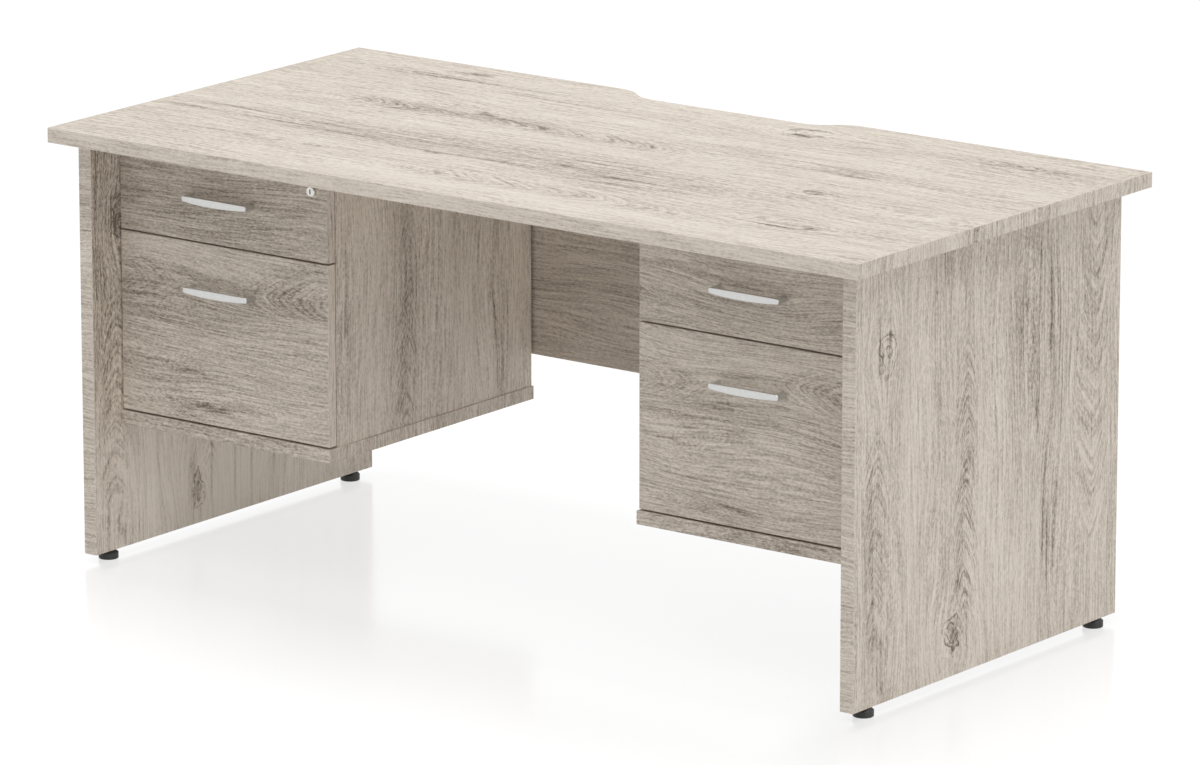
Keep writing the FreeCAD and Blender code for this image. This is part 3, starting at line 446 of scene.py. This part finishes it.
dress(grey_oak("grey_oak_pedestal_sides", "ZYX", "XYZ", (1700, 420, 0), (),
               moved(PANEL_PRINT_AND_PAINTED_LIGHT, *SIDE_STEP, 0.75), moved(PANEL_ARCHES, *SIDE_STEP, 0.6)),
      "left_pedestal_inner_side", "right_pedestal_inner_side", "pedestal_outer_sides")
dress(grey_oak("grey_oak_pedestal_boards", "XYZ", "ZYX", (900, 260, 0), (), BASE_PAINTED_SHADE),
      "left_pedestal_base", "right_pedestal_base", "pedestal_front_rails", "pedestal_rear_rails")
dress(grey_oak("grey_oak_pedestal_backs", "XZY", "YZX", (700, 260, 0)),
      "left_pedestal_back", "right_pedestal_back")
for place, (shift, step, shades, arched) in FRONTS.items():
    dress(grey_oak(f"grey_oak_{place}_front", "XZY", "ZYX", shift, (), moved(shades, step, 0),
                   moved(arched, step, 0), coarse=0.85, crisp=0.88), f"{place}_drawer_front")


# Plain finishes

def plain(name, tones, size, roughness, metallic, bump_depth):
    """A finish whose colour and roughness wander between two values in a noise of a given size in mm."""
    material, tree = start_material(name)
    place = add(tree, "ShaderNodeTexCoord", {})
    where = add(tree, "ShaderNodeVectorMath", {0: place.outputs["Object"], 1: per(Vector(size) * MM)},
                operation="MULTIPLY")
    noise = add(tree, "ShaderNodeTexNoise", {"Vector": where.outputs[0], "Scale": 1, "Detail": 3})
    ramp = add(tree, "ShaderNodeValToRGB", {0: noise.outputs[0]})
    set_stops(ramp, list(zip((0.3, 0.7), tones)))
    rough = add(tree, "ShaderNodeMapRange",
                {"Value": noise.outputs[0], "To Min": roughness[0], "To Max": roughness[1]})
    bump = add(tree, "ShaderNodeBump",
               {"Strength": 0.3, "Distance": bump_depth * MM, "Height": noise.outputs[0]})
    shader = add(tree, "ShaderNodeBsdfPrincipled",
                 {"Base Color": ramp.outputs[0], "Roughness": rough.outputs[0], "Metallic": metallic,
                  "Normal": bump.outputs[0]})
    add(tree, "ShaderNodeOutputMaterial", {0: shader.outputs[0]})
    return material


every_drawer = [f"{side}_{level}" for side in ("left", "right") for level in ("upper", "lower")]

# Light grey melamine drawer board: matt, with a faint pearl texture.
dress(plain("light_grey_melamine", ("#C9C8C5", "#D6D5D2"), (3, 3, 3), (0.45, 0.6), 0, 0.1),
      *[f"{name}_drawer_{part}" for name in every_drawer for part in ("sides", "back", "base")])
# Die-cast zinc in satin silver lacquer: pale, even and slightly grainy.
dress(plain("satin_silver_zinc", ("#CACAC8", "#D7D7D5"), (6, 1.5, 1.5), (0.30, 0.42), 1, 0.02),
      *[f"{name}_handle" for name in every_drawer])
# Nickel-plated lock: brighter and smoother than the handles.
dress(plain("nickel_plated_brass", ("#D1CFCA", "#E1DFDB"), (2, 2, 2), (0.18, 0.28), 1, 0.01),
      *[f"{side}_lock_{part}" for side in ("left", "right") for part in ("housing", "plug", "cam")])
# Rolled zinc-plated steel: cool grey with faint lines along the rolling direction.
dress(plain("zinc_plated_steel", ("#A9ADB1", "#C3C7CB"), (2, 90, 2), (0.25, 0.4), 1, 0.02),
      "slide_outers", "left_file_rails", "right_file_rails",
      *[f"{name}_slide_{part}" for name in every_drawer for part in ("inners", "middles")])
# Cast zinc fixings: duller and blotchy.
dress(plain("cast_zinc", ("#8F9193", "#AEB0B1"), (3, 3, 3), (0.35, 0.5), 1, 0.05),
      "cam_fittings", "foot_inserts", "pedestal_screws")
# Moulded black nylon: matt with a fine spark-eroded texture.
dress(plain("black_nylon", ("#1F1E1D", "#2D2C2B"), (1.2, 1.2, 1.2), (0.42, 0.55), 0, 0.08),
      *[f"{row}_{side}_foot" for row in ("front", "back") for side in ("left", "right")])


# Floor, light and camera

FLOOR_RADIUS = 30
FOOTPRINT = Vector((0.775, 0.375, 0))         # half sizes of the area the desk stands on
GLOSS_REACH = 0.45                            # how far the gloss goes beyond the footprint
FLOOR_GLOSS = 0.3
FLOOR_ROUGHNESS = 0.16
FLOOR_TONES = (0.72, 0.16)                    # for light that bounces and as seen, where the glow adds to it
FLOOR_GLOW = (0.69, 0.88)                     # near the desk and beyond the gloss
ROOM_LEVELS = (0.42, 1)                       # as light and as seen
LAMPS = {                                     # strength, spread in degrees, direction, casts a shadow
    "overhead_lamp": (0.72, 60, (0, 0, 1), True),
    "front_lamp": (1.13, 50, (0.2, -0.38, 0.9), True),
    "right_fill": (0.43, 30, (1, 0, 0.05), False),
}
CAMERA_PLACE = (7.53952, -9.92814, 3.47131)
CAMERA_AZIMUTH, CAMERA_ELEVATION = math.radians(37.162), math.radians(14.068)
CAMERA_LENS, CAMERA_SENSOR = 240.51, 36
CAMERA_RANGE = 200


def seen_rays(tree):
    """1 for rays by which a surface is seen, directly, in a gloss or through glass, and 0 for light."""
    rays = add(tree, "ShaderNodeLightPath", {})
    seen = rays.outputs["Is Camera Ray"]
    for kind in ("Is Glossy Ray", "Is Transmission Ray"):
        seen = add(tree, "ShaderNodeMath", {0: seen, 1: rays.outputs[kind]}, operation="MAXIMUM").outputs[0]
    return seen


def studio_floor():
    """White floor with a faint gloss; it looks white to the camera and keeps the soft shadow."""
    mesh = bpy.data.meshes.new("studio_floor")
    shape = bmesh.new()
    bmesh.ops.create_circle(shape, cap_ends=True, radius=FLOOR_RADIUS, segments=64)
    shape.to_mesh(mesh)
    shape.free()
    floor = bpy.data.objects.new("studio_floor", mesh)
    scene.collection.objects.link(floor)
    material, tree = start_material("white_studio_floor")
    seen = seen_rays(tree)
    tone = add(tree, "ShaderNodeMapRange", {"Value": seen, "To Min": FLOOR_TONES[0], "To Max": FLOOR_TONES[1]})

    # The gloss fades out with distance from the desk's footprint, where the glow makes up for it.
    place = add(tree, "ShaderNodeTexCoord", {})
    spread = add(tree, "ShaderNodeVectorMath", {0: place.outputs["Object"]}, operation="ABSOLUTE")
    beyond = add(tree, "ShaderNodeVectorMath", {0: spread.outputs[0], 1: FOOTPRINT}, operation="SUBTRACT")
    outside = add(tree, "ShaderNodeVectorMath", {0: beyond.outputs[0], 1: (0, 0, 0)}, operation="MAXIMUM")
    away = add(tree, "ShaderNodeVectorMath", {0: outside.outputs[0]}, operation="LENGTH").outputs["Value"]
    gloss = add(tree, "ShaderNodeMapRange",
                {"Value": away, "From Max": GLOSS_REACH, "To Min": FLOOR_GLOSS, "To Max": 0})
    white = add(tree, "ShaderNodeMapRange",
                {"Value": away, "From Max": GLOSS_REACH, "To Min": FLOOR_GLOW[0], "To Max": FLOOR_GLOW[1]})
    glow = add(tree, "ShaderNodeMath", {0: seen, 1: white.outputs[0]}, operation="MULTIPLY")
    shader = add(tree, "ShaderNodeBsdfPrincipled",
                 {"Base Color": tone.outputs[0], "Roughness": FLOOR_ROUGHNESS,
                  "Specular IOR Level": gloss.outputs[0],
                  "Emission Color": WHITE, "Emission Strength": glow.outputs[0]})
    add(tree, "ShaderNodeOutputMaterial", {0: shader.outputs[0]})
    mesh.materials.append(material)


def studio_light():
    """An even white room, soft lamps overhead and high at the front, and a weak fill from the right."""
    world = bpy.data.worlds.new("studio")
    world.use_nodes = True
    tree = world.node_tree
    tree.nodes.clear()
    level = add(tree, "ShaderNodeMapRange",
                {"Value": seen_rays(tree), "To Min": ROOM_LEVELS[0], "To Max": ROOM_LEVELS[1]})
    sky = add(tree, "ShaderNodeBackground", {"Color": WHITE, "Strength": level.outputs[0]})
    add(tree, "ShaderNodeOutputWorld", {0: sky.outputs[0]})
    scene.world = world
    for name, (strength, spread, towards, shadow) in LAMPS.items():
        lamp = bpy.data.lights.new(name, "SUN")
        lamp.energy = strength
        lamp.angle = math.radians(spread)
        lamp.use_shadow = shadow
        holder = bpy.data.objects.new(name, lamp)
        holder.rotation_euler = Vector(towards).to_track_quat("Z", "Y").to_euler()
        scene.collection.objects.link(holder)


def photo_camera():
    """Camera found by fitting the desk's corners in the photograph."""
    level = math.cos(CAMERA_ELEVATION)
    back = Vector((math.sin(CAMERA_AZIMUTH) * level, -math.cos(CAMERA_AZIMUTH) * level,
                   math.sin(CAMERA_ELEVATION)))
    right = Vector((math.cos(CAMERA_AZIMUTH), math.sin(CAMERA_AZIMUTH), 0))
    turn = Matrix((right, back.cross(right), back)).transposed().to_4x4()
    data = bpy.data.cameras.new("photo_camera")
    data.sensor_width = CAMERA_SENSOR
    data.lens = CAMERA_LENS
    data.clip_end = CAMERA_RANGE
    camera = bpy.data.objects.new("photo_camera", data)
    camera.matrix_world = Matrix.Translation(CAMERA_PLACE) @ turn
    scene.collection.objects.link(camera)
    scene.camera = camera


studio_floor()
studio_light()
photo_camera()
